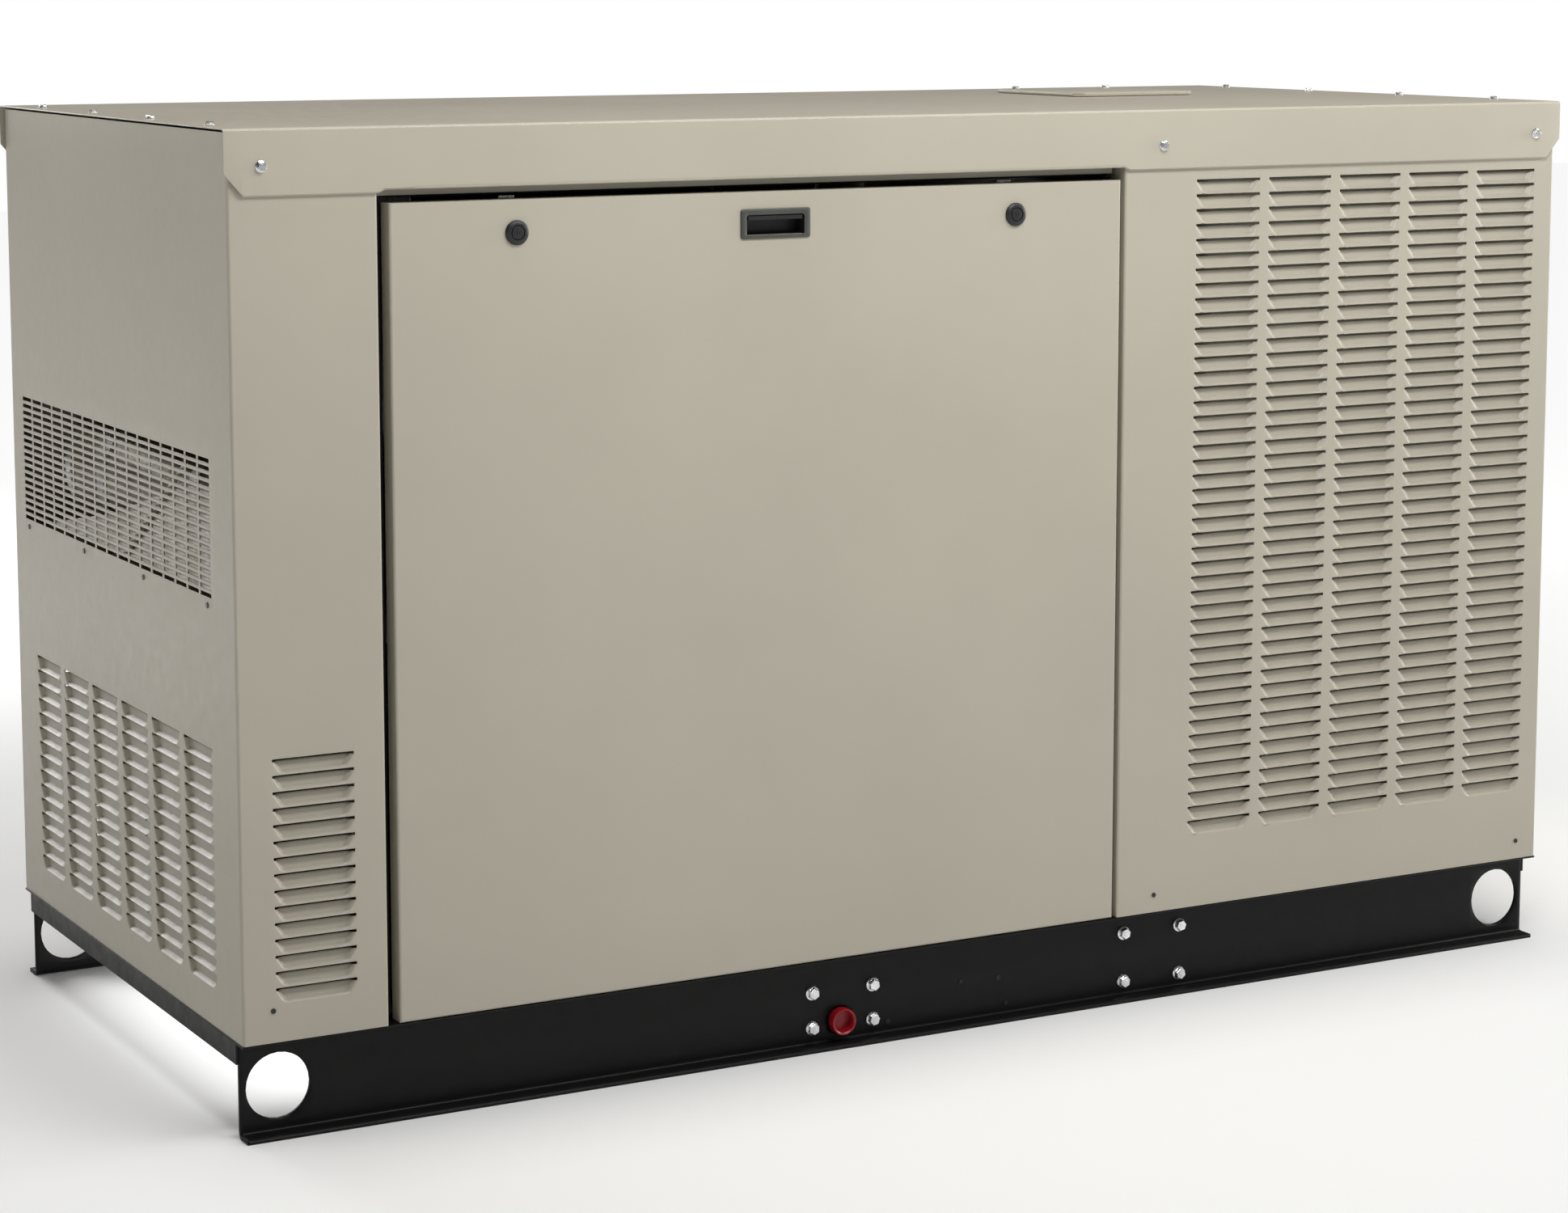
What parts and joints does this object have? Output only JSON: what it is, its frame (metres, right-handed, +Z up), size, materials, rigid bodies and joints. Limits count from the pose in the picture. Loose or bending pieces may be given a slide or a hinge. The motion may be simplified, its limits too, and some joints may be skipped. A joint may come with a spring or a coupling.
{
  "type": "home standby generator",
  "caption": "Liquid-cooled standby generator set: beige louvred sheet-metal enclosure with tilt-out service doors on a black formed-steel skid.",
  "frame": {"origin": "on the ground under the middle of the set", "axes": "+X along the length from the alternator end to the radiator end, +Y from the front door to the rear door, +Z up"},
  "size_m": [1.88, 0.836, 1.154],
  "materials": {
    "beige_paint": "satin powder coat",
    "black_paint": "satin powder coat",
    "galvanised": "galvanised",
    "zinc": "bright zinc plate",
    "cast_iron": "sand cast, painted grey",
    "cast_aluminium": "as cast",
    "radiator_core": "black dip paint",
    "hot_steel": "aluminised, heat-stained",
    "black_plastic": "moulded, fine grain",
    "grey_plastic": "moulded, fine grain",
    "milky_plastic": "blow-moulded, translucent",
    "red_plastic": "gloss",
    "black_rubber": "moulded rubber",
    "sound_foam": "faced acoustic foam",
    "filter_paint": "gloss enamel"
  },
  "bodies": {
    "enclosure": {"skid_rail_front": "black_paint", "skid_rail_rear": "black_paint", "cross_member_engine": "black_paint", "cross_member_radiator": "black_paint", "base_pan": "black_paint", "roof": "beige_paint", "roof_access_cover": "beige_paint", "left_end_panel": "beige_paint", "right_end_panel": "beige_paint", "front_left_panel": "beige_paint", "front_right_panel": "beige_paint", "rear_left_panel": "beige_paint", "rear_right_panel": "beige_paint", "muffler_partition": "galvanised", "radiator_bulkhead": "beige_paint", "engine_block": "cast_iron", "cylinder_head": "cast_aluminium", "valve_cover": "cast_aluminium", "oil_pan": "black_paint", "oil_filter": "filter_paint", "intake_manifold": "cast_aluminium", "exhaust_manifold": "cast_iron", "air_cleaner": "black_plastic", "starter_motor": "black_paint", "flywheel_housing": "cast_aluminium", "charging_alternator": "cast_aluminium", "drive_belt": "black_rubber", "alternator_frame": "cast_iron", "radiator": "radiator_core", "fan_shroud": "black_plastic", "upper_hose": "black_rubber", "lower_hose": "black_rubber", "coolant_tank": "milky_plastic", "muffler": "hot_steel", "exhaust_pipe": "hot_steel", "fuel_regulator": "cast_aluminium", "fuel_pipe": "black_paint", "junction_box": "beige_paint", "controller": "black_plastic", "battery": "black_plastic"},
    "front_door": {"front_door": "beige_paint", "front_door_liner": "sound_foam", "front_door_handle": "grey_plastic"},
    "front_latch_left": {"front_latch_left": "black_plastic"},
    "front_latch_right": {"front_latch_right": "black_plastic"},
    "rear_door": {"rear_door": "beige_paint", "rear_door_liner": "sound_foam", "rear_door_handle": "grey_plastic"},
    "rear_latch_left": {"rear_latch_left": "black_plastic"},
    "rear_latch_right": {"rear_latch_right": "black_plastic"},
    "crankshaft": {"crank_pulley": "black_paint", "alternator_rotor": "galvanised"},
    "fan": {"cooling_fan": "black_plastic", "water_pump_pulley": "black_paint"},
    "charging_rotor": {"charging_pulley": "zinc"},
    "breaker_toggle": {"breaker_handle": "black_plastic"},
    "stop_button": {"emergency_stop_button": "red_plastic"},
    "coolant_cap": {"coolant_cap": "black_plastic"},
    "oil_cap": {"oil_filler_cap": "black_plastic"},
    "fuel_cap": {"fuel_inlet_cap": "red_plastic"}
  },
  "joints": [
    {"name": "front_door_tilt", "type": "hinge", "parent": "enclosure", "child": "front_door", "pos_m": [-0.2525, -0.4115, 0.1175], "axis": [1, 0, 0], "range_deg": [0, 95]},
    {"name": "front_latch_left_turn", "type": "hinge", "parent": "front_door", "child": "front_latch_left", "pos_m": [-0.5885, -0.413, 1.0228], "axis": [0, 1, 0], "range_deg": [-90, 0]},
    {"name": "front_latch_right_turn", "type": "hinge", "parent": "front_door", "child": "front_latch_right", "pos_m": [0.0835, -0.413, 1.0228], "axis": [0, 1, 0], "range_deg": [0, 90]},
    {"name": "rear_door_tilt", "type": "hinge", "parent": "enclosure", "child": "rear_door", "pos_m": [-0.2525, 0.4115, 0.1175], "axis": [-1, 0, 0], "range_deg": [0, 95]},
    {"name": "rear_latch_left_turn", "type": "hinge", "parent": "rear_door", "child": "rear_latch_left", "pos_m": [-0.5885, 0.413, 1.0228], "axis": [0, 1, 0], "range_deg": [-90, 0]},
    {"name": "rear_latch_right_turn", "type": "hinge", "parent": "rear_door", "child": "rear_latch_right", "pos_m": [0.0835, 0.413, 1.0228], "axis": [0, 1, 0], "range_deg": [0, 90]},
    {"name": "crankshaft_spin", "type": "hinge", "parent": "enclosure", "child": "crankshaft", "pos_m": [0.187, 0, 0.34], "axis": [1, 0, 0], "continuous": true},
    {"name": "fan_spin", "type": "hinge", "parent": "enclosure", "child": "fan", "pos_m": [0.187, 0, 0.505], "axis": [1, 0, 0], "continuous": true},
    {"name": "charging_rotor_spin", "type": "hinge", "parent": "enclosure", "child": "charging_rotor", "pos_m": [0.187, -0.185, 0.52], "axis": [1, 0, 0], "continuous": true},
    {"name": "breaker_toggle_throw", "type": "hinge", "parent": "enclosure", "child": "breaker_toggle", "pos_m": [-0.61, -0.206, 0.63], "axis": [1, 0, 0], "range_deg": [0, 40]},
    {"name": "stop_button_press", "type": "slide", "parent": "enclosure", "child": "stop_button", "axis": [0, 1, 0], "range_m": [0, 0.006]},
    {"name": "coolant_cap_turn", "type": "hinge", "parent": "enclosure", "child": "coolant_cap", "pos_m": [0.565, 0.14, 1.113], "axis": [0, 0, 1], "range_deg": [0, 90]},
    {"name": "oil_cap_turn", "type": "hinge", "parent": "enclosure", "child": "oil_cap", "pos_m": [0.09, 0, 0.745], "axis": [0, 0, 1], "range_deg": [0, 90]},
    {"name": "fuel_cap_pull", "type": "slide", "parent": "enclosure", "child": "fuel_cap", "axis": [0, -1, 0], "range_m": [0, 0.03]}
  ],
  "couplings": [
    {"joint": "fan_spin", "follows": "crankshaft_spin", "ratio": 1.25},
    {"joint": "charging_rotor_spin", "follows": "crankshaft_spin", "ratio": 2.2059}
  ]
}
